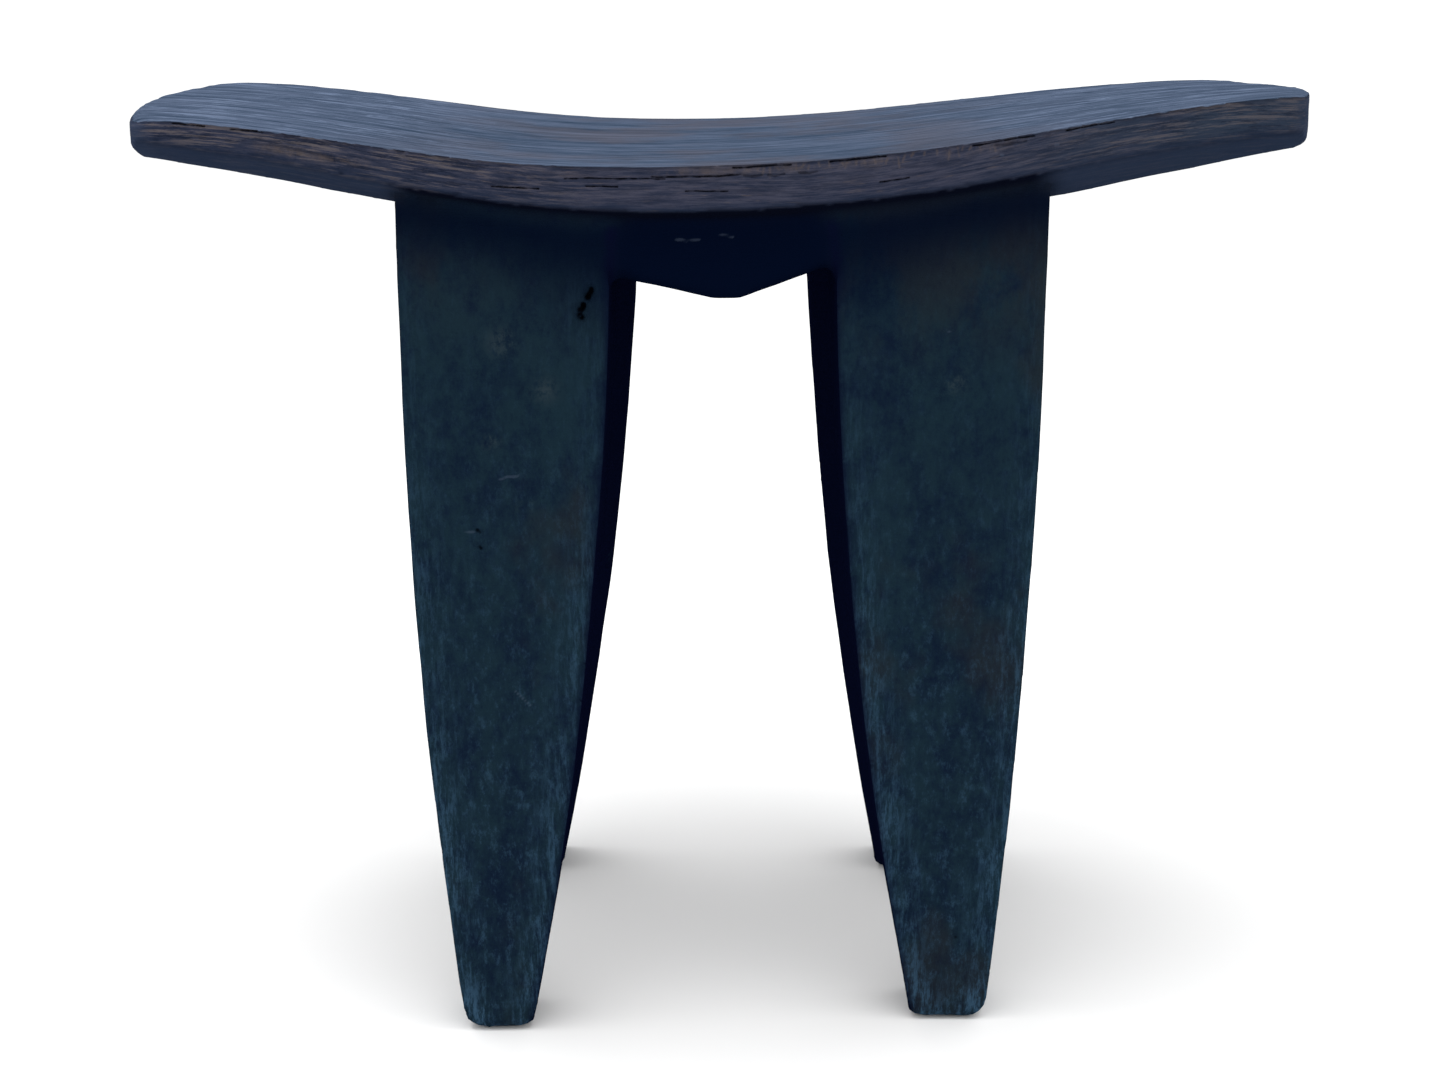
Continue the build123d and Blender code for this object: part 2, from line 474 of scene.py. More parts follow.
def add(tree, kind, inputs=None, **settings):
    """A node with its settings, and each input linked to a socket or set to a value."""
    node = tree.nodes.new(kind)
    for key, value in settings.items():
        setattr(node, key, value)
    for key, value in (inputs or {}).items():
        if isinstance(value, bpy.types.NodeSocket):
            tree.links.new(value, node.inputs[key])
        else:
            node.inputs[key].default_value = value
    return node


def math_node(tree, operation, *values):
    """A Math node's output; geometry and shader trees share the node."""
    return add(tree, "ShaderNodeMath", dict(enumerate(values)), operation=operation).outputs[0]


def vector_node(tree, operation, *values, scale=None):
    node = add(tree, "ShaderNodeVectorMath", dict(enumerate(values)), operation=operation)
    if scale is not None:
        if isinstance(scale, bpy.types.NodeSocket):
            tree.links.new(scale, node.inputs["Scale"])
        else:
            node.inputs["Scale"].default_value = scale
    return node.outputs[0]


def float_attribute(tree, name):
    node = add(tree, "GeometryNodeInputNamedAttribute", {"Name": name}, data_type="FLOAT")
    return node.outputs["Attribute"]


def finish_tree(tree, geometry, given, last):
    """Ends a tree in Realize Instances and Set Material."""
    real = add(tree, "GeometryNodeRealizeInstances", {"Geometry": geometry})
    painted = add(tree, "GeometryNodeSetMaterial",
                  {"Geometry": real.outputs[0], "Material": given.outputs["Finish"]})
    tree.links.new(painted.outputs[0], last.inputs[0])


def tool_stroke_tree():
    tree, given, last = new_tree("tool strokes", (
        ("Stroke size", "Vector", (0.02, 0.02, 0.02)),
        ("Cut depth", "Float", 0.001),
        ("Raggedness", "Float", 0.3),
        ("Surface", "String", "on_legs"),
        ("Seed", "Int", 1),
        ("Finish", "Material", None),
    ))
    position = tree.nodes.new("GeometryNodeInputPosition").outputs[0]
    normal = tree.nodes.new("GeometryNodeInputNormal").outputs[0]
    shift = vector_node(tree, "SCALE", (3.1, 1.7, 2.3), scale=given.outputs["Seed"])
    cell = vector_node(tree, "DIVIDE", position, given.outputs["Stroke size"])
    ragged = add(tree, "ShaderNodeTexNoise", {"Vector": cell, "Scale": 1.3, "Detail": 3.0})
    centred = vector_node(tree, "SUBTRACT", ragged.outputs["Color"], (0.5, 0.5, 0.5))
    jitter = vector_node(tree, "SCALE", centred, scale=given.outputs["Raggedness"])
    place = vector_node(tree, "ADD", vector_node(tree, "ADD", cell, shift), jitter)
    scoop = add(tree, "ShaderNodeTexVoronoi", {"Vector": place, "Scale": 1.0, "Randomness": 0.9})
    square = math_node(tree, "POWER", scoop.outputs["Distance"], 2.0)
    height = math_node(tree, "SUBTRACT", square, 0.3)
    depth = math_node(tree, "MULTIPLY", height, given.outputs["Cut depth"])
    masked = math_node(tree, "MULTIPLY", depth, float_attribute(tree, given.outputs["Surface"]))
    offset = vector_node(tree, "SCALE", normal, scale=masked)
    moved = add(tree, "GeometryNodeSetPosition",
                {"Geometry": given.outputs["Geometry"], "Offset": offset})
    finish_tree(tree, moved.outputs[0], given, last)
    return tree


def apply_tree(piece, tree, **values):
    """Adds a tree to a piece; a name's underscores stand for spaces. Sets every input first."""
    modifier = piece.modifiers.new(tree.name, "NODES")
    modifier.node_group = tree
    for item in tree.interface.items_tree:
        key = item.name.replace(" ", "_")
        if item.in_out == "INPUT" and key in values:
            modifier[item.identifier] = values[key]


raw_wood = bpy.data.materials.new("raw_wood")
strokes = tool_stroke_tree()
SWELL_SIZE = 120 * MM         # slow unevenness of a block cut by eye
SWELL_HEIGHT = 0.35 * MM
# surface: stroke size along X, Y and Z, and cut depth, in millimetres
STROKES = {
    "on_top": ((80, 24, 30), 0.40),
    "on_rim": ((46, 14, 8), 0.40),
    "on_under": ((34, 20, 22), 0.80),
    "on_belly": ((26, 20, 18), 0.80),
    "on_legs": ((16, 16, 44), 0.55),
}
for seed, (surface, (size, depth)) in enumerate(STROKES.items(), 1):
    apply_tree(block, strokes, Stroke_size=[s * MM for s in size], Cut_depth=depth * MM,
               Raggedness=0.5, Surface=surface, Seed=seed, Finish=raw_wood)
plain_result(block)
skin = block.data
points = points_of(skin)
swell = waves(points, SWELL_SIZE, 11) * SWELL_HEIGHT
above_floor = ramp(points[:, 2], 2 * MM, 20 * MM)
points += normals_of(skin) * (swell * above_floor)[:, None]
set_points(skin, points)
print("tool strokes on", len(STROKES), "surfaces")

# %% [markdown]
# Accidents and old damage. The front edge of the seat has drying cracks under its top
# arris, splinters lifted along the arris itself, small gouge cuts, and a rubbed band
# with nicks from a toothed tool. A knot fell out of the left front leg, and the right
# one shows the ripples of a scraper that chattered. The ends of the seat are scratched
# from being dragged about. All of these are lines on the surface: points laid along a face
# with an unsteady hand, which a second tree then presses into the wood.

# %% Lines laid on the wood
surface = BVHTree.FromPolygons(
    [v.co[:] for v in block.data.vertices], [p.vertices[:] for p in block.data.polygons])
SEARCH = 0.5                  # how far a ray looks for the wood, in metres


def on_front(x, z):
    """The first wood behind a point in front of the stool. Millimetres in, metres out."""
    return surface.ray_cast(Vector((x * MM, -SEARCH, z * MM)), Vector((0, 1, 0)))[0]


def on_seat(x, y):
    """The wood under a point above the seat."""
    return surface.ray_cast(Vector((x * MM, y * MM, SEARCH)), Vector((0, 0, -1)))[0]


def under_arris(x, depth):
    """The wood at x on the front edge, this far under its top arris."""
    arris = on_seat(x, seat_low.y / MM + 2)
    return on_front(x, arris.z / MM - depth)


def stroke(place, *stations, wander=0.2):
    """A line through stations, laid by place(a, b), that strays by wander millimetres."""
    line = []
    phase = sum(stations[0])
    for (a0, b0), (a1, b1) in zip(stations, stations[1:]):
        steps = max(2, int(2 * math.dist((a0, b0), (a1, b1))))
        for step in range(steps + 1):
            a = a0 + (a1 - a0) * step / steps
            b = b0 + (b1 - b0) * step / steps
            stray = wander * (math.sin(0.31 * a + phase) + 0.5 * math.sin(0.83 * a + 0.7 * b))
            line.append(place(a, b + stray))
    return [p for p in line if p]


cracks = [
    stroke(under_arris, (-60, 4.9), (-41, 4.6), (-22, 4.7), wander=0.12),
    stroke(under_arris, (-27, 3.9), (-9, 4.1), (7, 3.8), wander=0.12),
    stroke(under_arris, (-52, 7.6), (-40, 7.8), wander=0.1),
    stroke(under_arris, (-88, 9.4), (-70, 9.2), wander=0.1),
    stroke(under_arris, (-14, 9.5), (2, 9.8), wander=0.1),
    stroke(under_arris, (60, 10.3), (71, 10.0), wander=0.1),
    stroke(under_arris, (4, 1.1), (14, 0.9), (26, 1.0), wander=0.1),
    stroke(under_arris, (41, 1.0), (52, 0.8), (62, 0.9), wander=0.1),
    stroke(under_arris, (95, 1.1), (106, 0.8), (118, 1.0), wander=0.1),
    stroke(under_arris, (130, 0.9), (148, 0.9), wander=0.1),
    stroke(under_arris, (-208, 0.9), (-196, 0.8), wander=0.1),
    stroke(under_arris, (-186, 0.9), (-174, 0.8), wander=0.1),
]
gouges = [
    stroke(under_arris, (8, 4.0), (11, 4.6), (15, 4.4), wander=0.1),
    stroke(under_arris, (17.5, 4.3), (20, 4.9), (23.5, 4.5), wander=0.1),
    stroke(under_arris, (29, 4.2), (33, 4.8), (36, 4.3), wander=0.1),
    stroke(under_arris, (102, 2.3), (108, 2.7), (115, 2.3), wander=0.1),
]
rubbed = [
    stroke(under_arris, (-26, 2.2), (8, 2.0), (40, 2.2), (64, 2.4)),
    stroke(under_arris, (84, 2.6), (98, 2.4), (112, 2.2)),
    stroke(under_arris, (-176, 6.0), (-158, 7.4), (-136, 7.0)),
]
chance = random.Random(7)
nicks = []
x = 9.0
while x < 104:
    top = chance.uniform(0.8, 2.0)
    reach = 0.8 + 3.0 * chance.random() ** 2
    nicks.append(stroke(under_arris, (x, top), (x + chance.uniform(-0.8, 0.8), top + reach)))
    x += chance.uniform(1.4, 5.2)
for x in (-168, -161, -152, -144):
    nicks.append(stroke(under_arris, (x, 7.0), (x + 4, 7.6)))
knots = [
    stroke(on_front, (-51.4, 321.8), (-52.6, 318.6)),
    stroke(on_front, (-54.4, 315.8), (-56.2, 311.4)),
    stroke(on_front, (-56.4, 314.6), (-55.0, 310.8)),
]
pits = [
    stroke(on_front, (-53.0, 318.0), (-54.8, 315.8)),
    stroke(on_front, (-98.6, 224.4), (-97.4, 223.6)),
    stroke(on_front, (-97.8, 217.4), (-97.4, 216.8)),
    stroke(on_front, (99.0, 40.4), (100.2, 40.0)),
]
ripples = []
z = 116.0
while z > 84:
    lean = chance.uniform(-1.2, 1.2)
    left_end = 100 + chance.uniform(-2, 3)
    ripples.append(stroke(on_front, (left_end, z), (111 + chance.uniform(-1, 1), z + lean)))
    z -= chance.uniform(3.2, 4.8)
scratches = [
    stroke(on_front, (-89, 246.4), (-86, 247.2), (-81, 247.5), wander=0.5),
    stroke(on_front, (-104, 224.0), (-99, 223.6)),
    stroke(on_front, (-85, 156), (-79, 149.5)),
    stroke(on_front, (-18.5, 341.5), (-14, 340.6), (-9, 341.0)),
    stroke(on_front, (-1.5, 342.6), (4, 342.2)),
    stroke(on_front, (88.2, 305.6), (89.6, 304.8)),
    stroke(under_arris, (105.5, 6.2), (106.5, 6.4)),
    stroke(under_arris, (126, 5.4), (127.2, 5.5)),
]
for side in (-1, 1):
    for _ in range(16):
        x = side * chance.uniform(128, 212)
        y = chance.uniform(-96, 92)
        length = chance.uniform(5, 26)
        lean = chance.uniform(-0.25, 0.35) * side
        scratches.append(stroke(on_seat, (x - length / 2, y - lean * length / 2),
                                (x + length / 2, y + lean * length / 2), wander=0.7))
# name: lines, then width and depth of the groove in millimetres
GROOVES = {
    "cracks": (cracks, 0.34, 0.9),
    "gouges": (gouges, 0.60, 0.5),
    "rubbed": (rubbed, 1.90, 0.15),
    "nicks": (nicks, 0.45, 0.25),
    "knots": (knots, 1.45, 2.8),
    "pits": (pits, 1.00, 0.9),
    "ripples": (ripples, 1.10, 0.22),
    "scratches": (scratches, 0.55, 0.12),
}
print({name: len(lines) for name, (lines, width, depth) in GROOVES.items()})

# %% [markdown]
# The grooves are narrower than the skin's faces, so the faces near them are split first:
# once along the front arris, which the eye follows, and up to twice more beside a groove.
# The rest of the skin keeps its even size, and the whole stays light.

# %% Finer faces where the detail is
def split_faces(mesh, near):
    """Cuts every edge in two whose ends both pass the test near(point)."""
    shape = bmesh.new()
    shape.from_mesh(mesh)
    close = {v for v in shape.verts if near(v.co)}
    chosen = [e for e in shape.edges if e.verts[0] in close and e.verts[1] in close]
    bmesh.ops.subdivide_edges(shape, edges=chosen, cuts=1, use_grid_fill=True)
    bmesh.ops.triangulate(shape, faces=[f for f in shape.faces if len(f.verts) > 4])
    shape.to_mesh(mesh)
    shape.free()
    return len(chosen)


def beside(names, reach):
    """A test for points within reach of the lines of the named grooves."""
    lines = [line for name in names for line in GROOVES[name][0]]
    tree = places_tree([p for line in lines for p in line])
    return lambda p: tree.find(p)[2] < reach


def at_front_edge(p):
    return p.y < seat_low.y + 4 * MM and p.z > seat_low.z


NARROW = ("cracks", "gouges", "knots", "pits", "nicks")
split = [
    split_faces(block.data, at_front_edge),
    split_faces(block.data, beside(GROOVES, 3.0 * MM)),
    split_faces(block.data, beside(NARROW, 1.4 * MM)),
]
print("edges split:", split, "points now:", len(block.data.vertices))

# %% [markdown]
# The second tree presses lines into the wood. Geometry Proximity gives every point its
# distance to the nearest line, and a bell curve of that distance is the groove's section.
# Noise along the line makes it break off and start again, as cracks do. The tree also
# stores how deep it went, and the finish paints a groove darker towards its bottom.

# %% A node tree for grooves
def groove_tree():
    tree, given, last = new_tree("grooves", (
        ("Lines", "Object", None),
        ("Groove width", "Float", 0.001),
        ("Groove depth", "Float", 0.001),
        ("Breaks", "Float", 0.4),
        ("Mark", "String", "cracks"),
        ("Seed", "Int", 1),
        ("Finish", "Material", None),
    ))
    lines = add(tree, "GeometryNodeObjectInfo", {"Object": given.outputs["Lines"]})
    near = add(tree, "GeometryNodeProximity", {"Geometry": lines.outputs["Geometry"]},
               target_element="EDGES")
    position = tree.nodes.new("GeometryNodeInputPosition").outputs[0]
    normal = tree.nodes.new("GeometryNodeInputNormal").outputs[0]
    shift = vector_node(tree, "SCALE", (0.31, 0.17, 0.23), scale=given.outputs["Seed"])
    place = vector_node(tree, "ADD", position, shift)
    broken = add(tree, "ShaderNodeTexNoise", {"Vector": place, "Scale": 260.0, "Detail": 2.0})
    ragged = math_node(tree, "MULTIPLY", math_node(tree, "SUBTRACT", broken.outputs[0], 0.5),
                       given.outputs["Breaks"])
    share = math_node(tree, "DIVIDE", near.outputs["Distance"], given.outputs["Groove width"])
    bell = math_node(tree, "EXPONENT",
                     math_node(tree, "MULTIPLY", math_node(tree, "POWER", share, 2.0), -1.0))
    uneven = math_node(tree, "MULTIPLY", bell, math_node(tree, "ADD", ragged, 1.0))
    depth = math_node(tree, "MULTIPLY", uneven, given.outputs["Groove depth"])
    offset = vector_node(tree, "SCALE", normal, scale=math_node(tree, "MULTIPLY", depth, -1.0))
    marked = add(tree, "GeometryNodeStoreNamedAttribute",
                 {"Geometry": given.outputs["Geometry"], "Name": given.outputs["Mark"],
                  "Value": uneven}, data_type="FLOAT", domain="POINT")
    moved = add(tree, "GeometryNodeSetPosition",
                {"Geometry": marked.outputs[0], "Offset": offset})
    finish_tree(tree, moved.outputs[0], given, last)
    return tree


def line_object(name, lines):
    """One object made of edges only, for a tree to measure distances to."""
    mesh = bpy.data.meshes.new(name)
    verts, links = [], []
    for line in lines:
        first = len(verts)
        verts.extend(line)
        links.extend((i, i + 1) for i in range(first, first + len(line) - 1))
    mesh.from_pydata(verts, links, [])
    return bpy.data.objects.new(name, mesh)


BREAKS = 2.4                  # how strongly noise breaks a groove into lengths
grooves = groove_tree()
line_objects = []
for seed, (mark, (lines, width, depth)) in enumerate(GROOVES.items(), 1):
    line_objects.append(line_object("lines_" + mark, lines))
    apply_tree(block, grooves, Lines=line_objects[-1], Groove_width=width * MM,
               Groove_depth=depth * MM, Breaks=BREAKS, Mark=mark, Seed=seed, Finish=raw_wood)
plain_result(block)
for drawn in line_objects:
    bpy.data.objects.remove(drawn)
print("grooves pressed:", len(GROOVES))

# %% [markdown]
# Wear follows the finished shape, so it is measured last. Ridges lost their dye to hands
# and cloth, on the arris itself and in a wider band beside it. The sole is cut flat
# again, because the strokes must not lift a foot off the floor. A few faint spots on the
# front legs, where something dripped, are stored as one more mask.

# %% Wear, drips and flat soles
SOLE_SKIM = 0.5 * MM          # the wood this close to the floor is cut level with it
STRAY = 2 * MM                # no point may end up further than this outside the CAD box
BAND_ROUNDS = 30              # how far the paler band spreads from an arris

skin = block.data
edges = edges_of(skin)
points = points_of(skin)
points[:, 2] = np.maximum(points[:, 2], 0)
flat_sole = points[:, 2] < SOLE_SKIM
points[flat_sole, 2] = 0
for axis in range(3):
    points[:, axis] = np.clip(points[:, axis], cad_low[axis] - STRAY, cad_high[axis] + STRAY)
set_points(skin, points)
bend = bend_of(skin)
store(skin, "ridge", soften(ramp(-bend, 0.02, 0.14), edges, 2))
store(skin, "wide_ridge", np.clip(soften(ramp(-bend, 0.04, 0.12), edges, BAND_ROUNDS) * 7, 0, 1))
# x, height and radius of each drip, in millimetres
DRIPS = ((-87, 301, 5), (-70, 282, 4.5), (-92, 262, 3), (-79, 236, 3), (92, 285, 4), (84, 206, 3))
drips = np.zeros(len(points))
for x, z, radius in DRIPS:
    away = np.hypot(points[:, 0] - x * MM, points[:, 2] - z * MM)
    drips += np.exp(-(away / (radius * MM)) ** 2) * (points[:, 1] < 0)
store(skin, "drips", drips)
print("soles hold", int(flat_sole.sum()), "points")

# %% [markdown]
# Back to six pieces. Each face goes to the region that its middle lies nearest to, and
# a piece's open rim is closed by a shallow fan inside the wood, where nobody sees it.
# Cut apart like this, two neighbours would shade a little differently along their rim,
# so every piece keeps the normals that the whole skin had. Those break only where two
# faces meet at a real angle, which keeps an arris crisp in the light.

# %% Six closed pieces
CREASE = math.radians(48)     # faces that meet at more than this stay an edge in the light
FAN_INSET = 4.0 * MM
LONG_RIM = 50                 # points; a shorter rim is only a nick between two regions
SETTLE_ROUNDS = 8
OWN_VOTE = 1.5                # what a face's own region counts for, beside its neighbours


def loops_of(rim):
    """Chains directed rim edges, given as (start, end) pairs, into closed loops."""
    onward = {}
    for start, end in rim:
        onward.setdefault(start, []).append(end)
    loops = []
    while onward:
        start = next(iter(onward))
        loop, here = [start], onward[start].pop()
        while here != start:
            loop.append(here)
            here = onward[here].pop()
        onward = {v: ends for v, ends in onward.items() if ends}
        loops.append(loop)
    return loops


skin = block.data
face_label = nearest_on_regions([p.center[:] for p in skin.polygons])[1]
face_verts = [tuple(p.vertices) for p in skin.polygons]
first_corner = [p.loop_start for p in skin.polygons]
skin.polygons.foreach_set("use_smooth", [True] * len(skin.polygons))
skin.set_sharp_from_angle(angle=CREASE)
corner_normals = [tuple(n.vector) for n in skin.corner_normals]
points = points_of(skin)


def settle_labels(labels):
    """Lets each face join most of its neighbours, so that rims are clean."""
    users = {}
    for number, verts in enumerate(face_verts):
        for a, b in zip(verts, verts[1:] + verts[:1]):
            users.setdefault((min(a, b), max(a, b)), []).append(number)
    pairs = np.array([pair for pair in users.values() if len(pair) == 2])
    for _ in range(SETTLE_ROUNDS):
        votes = np.zeros((len(labels), len(REGIONS)))
        np.add.at(votes, (pairs[:, 0], labels[pairs[:, 1]]), 1)
        np.add.at(votes, (pairs[:, 1], labels[pairs[:, 0]]), 1)
        votes[np.arange(len(labels)), labels] += OWN_VOTE
        labels = votes.argmax(1)
    return labels


face_label = settle_labels(face_label)
MARKS = list(MASKS) + list(GROOVES) + ["ridge", "wide_ridge", "drips"]
mark_values = {mark: stored(skin, mark) for mark in MARKS}


def cut_out(number, name):
    """A closed piece from the faces of one region, shaded as the whole skin was."""
    chosen = np.flatnonzero(face_label == number)
    mine = [face_verts[i] for i in chosen]
    used = np.unique(np.concatenate([np.array(f) for f in mine]))
    renumber = {old: new for new, old in enumerate(used.tolist())}
    faces = [tuple(renumber[v] for v in f) for f in mine]
    directed = set()
    for f in faces:
        directed.update(zip(f, f[1:] + f[:1]))
    rim = sorted((b, a) for a, b in directed if (b, a) not in directed)
    verts = points[used]
    caps, centres = [], []
    for loop in loops_of(rim):
        middle = verts[loop].mean(0)
        middle[2] += FAN_INSET if len(loop) > LONG_RIM else 0
        centres.append(middle)
        tip = len(verts) + len(centres) - 1
        caps.extend((a, b, tip) for a, b in zip(loop, loop[1:] + loop[:1]))
    mesh = bpy.data.meshes.new(name + "_wood")
    mesh.from_pydata(np.vstack([verts, centres]).tolist(), [], faces + caps)
    mesh.polygons.foreach_set("use_smooth", [True] * len(mesh.polygons))
    for mark, values in mark_values.items():
        store(mesh, mark, np.concatenate([values[used], np.zeros(len(centres))]))
    loop_normals = []
    for i, face in zip(chosen, mine):
        loop_normals.extend(corner_normals[first_corner[i]:first_corner[i] + len(face)])
    for polygon in mesh.polygons[len(faces):]:
        loop_normals.extend([polygon.normal[:]] * len(polygon.vertices))
    mesh.normals_split_custom_set(loop_normals)
    piece = bpy.data.objects.new(name + "_wood", mesh)
    bpy.context.scene.collection.objects.link(piece)
    triangles = sum(len(f) - 2 for f in faces) + len(caps)
    print(f"{name}: {triangles} triangles, {len(centres)} rim loop(s)")
    return piece


pieces = {name: cut_out(number, name) for number, name in enumerate(REGIONS)}
bpy.data.objects.remove(block)

# %% [markdown]
# The finish. One dye covers the whole block, so one pattern serves all six pieces, and
# each material only sets its own depth of grain. A painted skin would have to
# be drawn and kept, while noise on the object's own coordinates runs on from piece to
# piece by itself. The masks stored on the skin say where each colour goes. These short
# helpers keep the node work readable.

# %% Helpers for shader patterns
def stored_mask(tree, name):
    return add(tree, "ShaderNodeAttribute", attribute_name=name).outputs["Fac"]


def pattern(tree, place, scale, detail=3.0, roughness=0.55, offset=(0, 0, 0)):
    """Noise from 0 to 1 on the object's coordinates, with so many cells a metre on each axis."""
    mapped = add(tree, "ShaderNodeMapping", {"Vector": place, "Scale": scale, "Location": offset})
    noise = add(tree, "ShaderNodeTexNoise", {"Vector": mapped.outputs[0], "Scale": 1.0,
                                             "Detail": detail, "Roughness": roughness})
    return noise.outputs[0]


def between(tree, value, low, high):
    """0 below low, 1 above high, a smooth rise between."""
    node = add(tree, "ShaderNodeMapRange", {"Value": value, "From Min": low, "From Max": high},
               interpolation_type="SMOOTHSTEP")
    return node.outputs[0]


def times(tree, *values):
    product = values[0]
    for value in values[1:]:
        product = math_node(tree, "MULTIPLY", product, value)
    return product


def plus(tree, *values):
    total = values[0]
    for value in values[1:]:
        total = math_node(tree, "ADD", total, value)
    return total


def blend(tree, share, under, over):
    """The colour under, covered by the colour over as far as share says."""
    node = tree.nodes.new("ShaderNodeMix")
    node.data_type = "RGBA"
    tree.links.new(share, node.inputs["Factor"])
    for socket, colour in ((node.inputs[6], under), (node.inputs[7], over)):
        if isinstance(colour, bpy.types.NodeSocket):
            tree.links.new(colour, socket)
        else:
            socket.default_value = (*colour, 1)
    return node.outputs[2]

# %% [markdown]
# The colours, as linear light. A dyer would call them all black, but each surface of the
# real stool leans its own way: the legs to navy and teal, the rim to umber and brown and
# the top to grey-blue, with a painted sheen in it. The belly and the underside of the seat
# are painted a deep blue-black, which is painted shade under the seat.

# %% Colours
LEG_NAVY = (0.0038, 0.0088, 0.0210)
LEG_TEAL = (0.0072, 0.0180, 0.0275)
# random brown in the dye, and the brown of the painted shade high on the legs
LEG_BROWN_AND_SHADE = (0.0120, 0.0140, 0.0170)
FADED_BLUE = (0.0300, 0.0680, 0.1150)
DRIP_GREY = (0.0300, 0.0420, 0.0500)
# random dark brush streaks on the legs, and painted shade on faces that turn inwards
DEEP_DYE_AND_SHADE = (0.0018, 0.0030, 0.0135)
# painted shade under the seat, on the belly and the tops of the legs
PAINTED_SHADE_BLACK = (0.0009, 0.0028, 0.0110)
CRACK_BLACK = (0.0006, 0.0008, 0.0020)
# painted shade on the seat's underside
UNDER_SHADE_NAVY = (0.0020, 0.0028, 0.0075)
# painted shade on the rim's lower margin
RIM_UNDER_SHADE = (0.0110, 0.0180, 0.0380)
# painted light from the floor, on the seat's bevel past the legs
BEVEL_LIT_BLUE = (0.0150, 0.0230, 0.0440)
RIM_BLACK = (0.0070, 0.0100, 0.0200)
RIM_DARK = (0.0155, 0.0205, 0.0390)
RIM_UMBER = (0.0440, 0.0455, 0.0690)
RIM_BROWN = (0.0980, 0.0840, 0.0840)
RIM_TAN = (0.1100, 0.0860, 0.0760)
RIM_TEAL = (0.0200, 0.0310, 0.0490)
# painted light on the faces of the seat's ends
RIM_END_LIGHT = (0.0280, 0.0400, 0.0720)
# the top's two tones: dust and wear, with a painted sheen in them
TOP_SLATE_AND_SHEEN = (0.0160, 0.0300, 0.0540)
TOP_BLUE_AND_SHEEN = (0.0755, 0.0980, 0.1510)
TOP_BROWN = (0.0670, 0.0540, 0.0570)
TOP_PALE = (0.1400, 0.1800, 0.2700)
print("darkest", PAINTED_SHADE_BLACK, "palest", TOP_PALE)

# %% [markdown]
# The legs. Their dye wanders between navy, teal and brown. High up, most on the right,
# they are painted browner as part of the painted shade under the seat. A stiff brush has
# taken some of the dye off lower down, and shins and hands have rubbed a paler band beside
# each arris. Two noises of different size, one slow and one brushed out along the leg,
# give both, where a single noise would look like marble.

# %% The colour of the legs
def leg_colour(tree, place, parts, mottle, patches):
    across, height = parts.outputs["X"], parts.outputs["Z"]
    clouds = pattern(tree, place, (34, 34, 20), 6, 0.7, (5, 0, 3))
    tone = plus(tree, times(tree, mottle, 0.7), times(tree, clouds, 0.3))
    colour = blend(tree, between(tree, tone, 0.36, 0.58), LEG_NAVY, LEG_TEAL)
    colour = blend(tree, times(tree, between(tree, patches, 0.52, 0.66), 0.6), colour, LEG_BROWN_AND_SHADE)

    # painted shade: high up under the seat the legs are painted browner, most on the right
    browner = plus(tree, times(tree, between(tree, across, -20 * MM, 60 * MM), 0.5), 0.2)
    high_up = between(tree, height, 280 * MM, 340 * MM)
    browned = times(tree, high_up, between(tree, clouds, 0.35, 0.60), browner)
    colour = blend(tree, browned, colour, LEG_BROWN_AND_SHADE)

    lower_down = plus(tree, between(tree, height, 330 * MM, 50 * MM), 0.15)
    brushed = pattern(tree, place, (260, 260, 130), 8, 0.85, (2, 0, 1))
    faded = times(tree, between(tree, brushed, 0.50, 0.66), lower_down, 0.36)
    colour = blend(tree, faded, colour, FADED_BLUE)
    colour = blend(tree, times(tree, between(tree, brushed, 0.48, 0.30), 0.42), colour, DEEP_DYE_AND_SHADE)

    runs = pattern(tree, place, (420, 420, 60), 8, 0.85)
    ragged = times(tree, stored_mask(tree, "wide_ridge"), between(tree, clouds, 0.28, 0.52))
    band = times(tree, ragged, between(tree, runs, 0.46, 0.60), lower_down, 0.80)
    colour = blend(tree, band, colour, FADED_BLUE)
    drip = times(tree, stored_mask(tree, "drips"), between(tree, mottle, 0.46, 0.56), 0.45)
    return blend(tree, drip, colour, DRIP_GREY)

# %% [markdown]
# The rim. Here the knife followed the seat's curve, so the streaks do as well: their
# coordinates have the rise of the seat's ends taken out of the height. Short dark stains
# and fibres rubbed back to brown lie along the edge, most of them at the left end. The
# right end is tealer. The rim's lower margin, where it turns under, is painted darker as
# painted shade, and the faces of both ends are painted bluer as painted light.

# %% The colour of the rim
LEFT_RISE = 17.5 * MM         # the front edge at its ends, above its lowest line
RIGHT_RISE = 26.5 * MM


def along_the_edge(tree, parts):
    """The object's coordinates with the rise of the seat's ends taken out of the height."""
    across = parts.outputs["X"]
    left = times(tree, between(tree, across, -50 * MM, -220 * MM), -LEFT_RISE)
    right = times(tree, between(tree, across, 20 * MM, 210 * MM), -RIGHT_RISE)
    height = plus(tree, parts.outputs["Z"], left, right)
    return add(tree, "ShaderNodeCombineXYZ",
               {"X": across, "Y": parts.outputs["Y"], "Z": height}).outputs[0]


